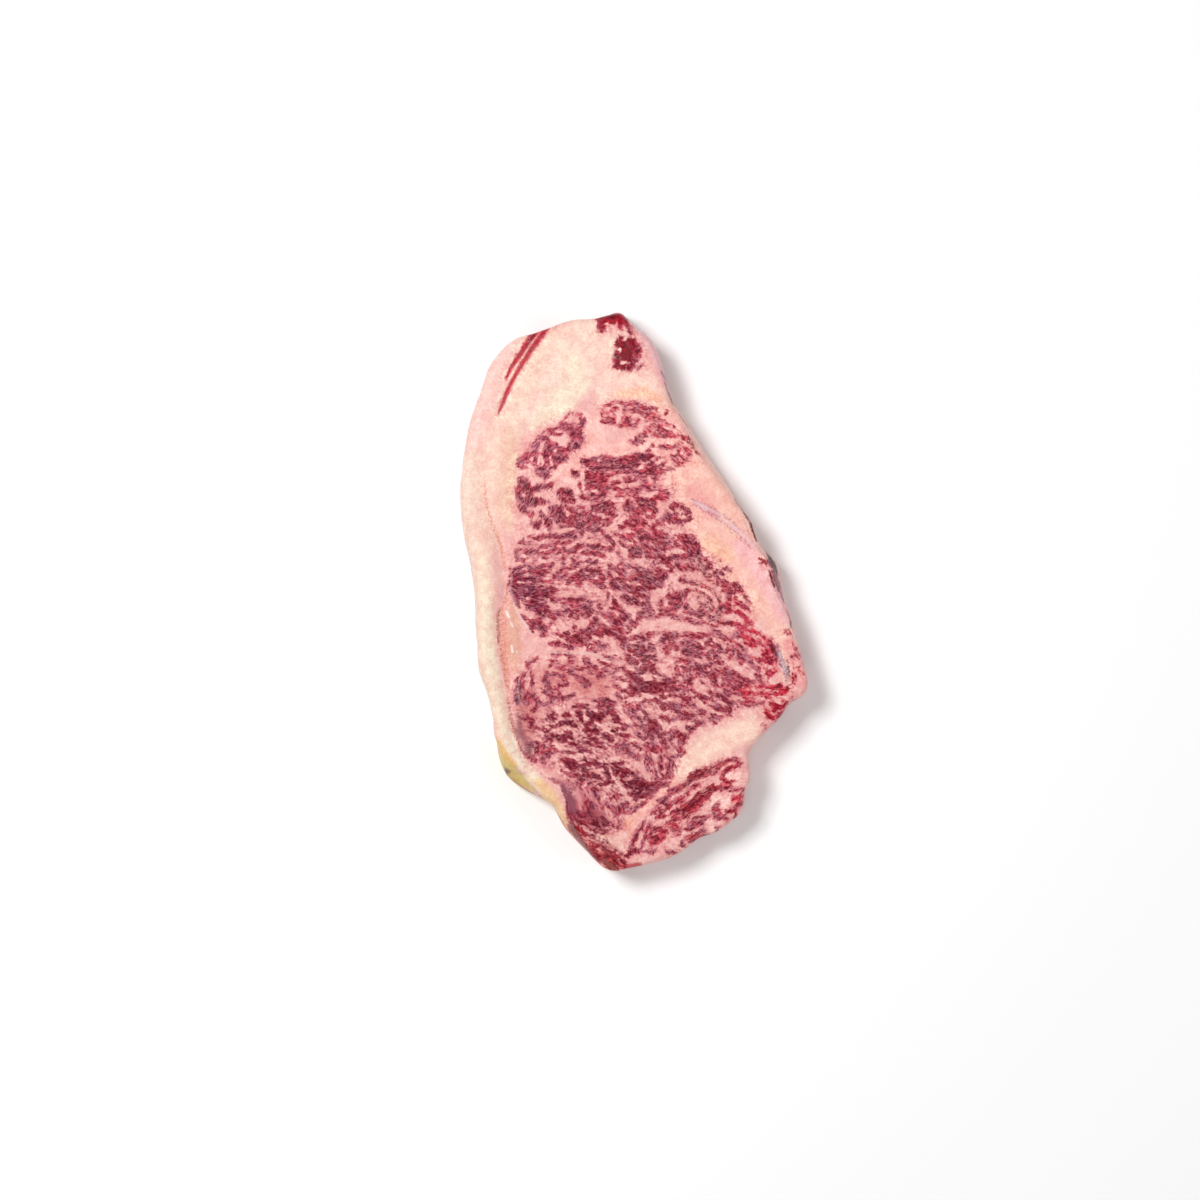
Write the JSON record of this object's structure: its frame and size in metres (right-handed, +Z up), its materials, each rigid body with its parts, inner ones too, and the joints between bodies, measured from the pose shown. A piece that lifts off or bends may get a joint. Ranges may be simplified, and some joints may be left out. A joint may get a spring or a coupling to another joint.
{
  "type": "raw ribeye steak",
  "caption": "Thick raw beef steak lying flat, with heavily marbled red meat, a raised roll of fat along one side and a narrow fatty end.",
  "frame": {"origin": "middle of the flat underside, below the centre of the steak's outline", "axes": "+Z up out of the cut face; +Y along the steak towards its narrow fatty end; -X towards the side with the thick roll of fat"},
  "size_m": [0.1411, 0.2265, 0.0234],
  "materials": {
    "raw_meat": "moist raw beef, deep red lean streaked with pale pink fat, with a soft wet gloss"
  },
  "bodies": {
    "root": {"steak": "raw_meat"}
  },
  "joints": []
}
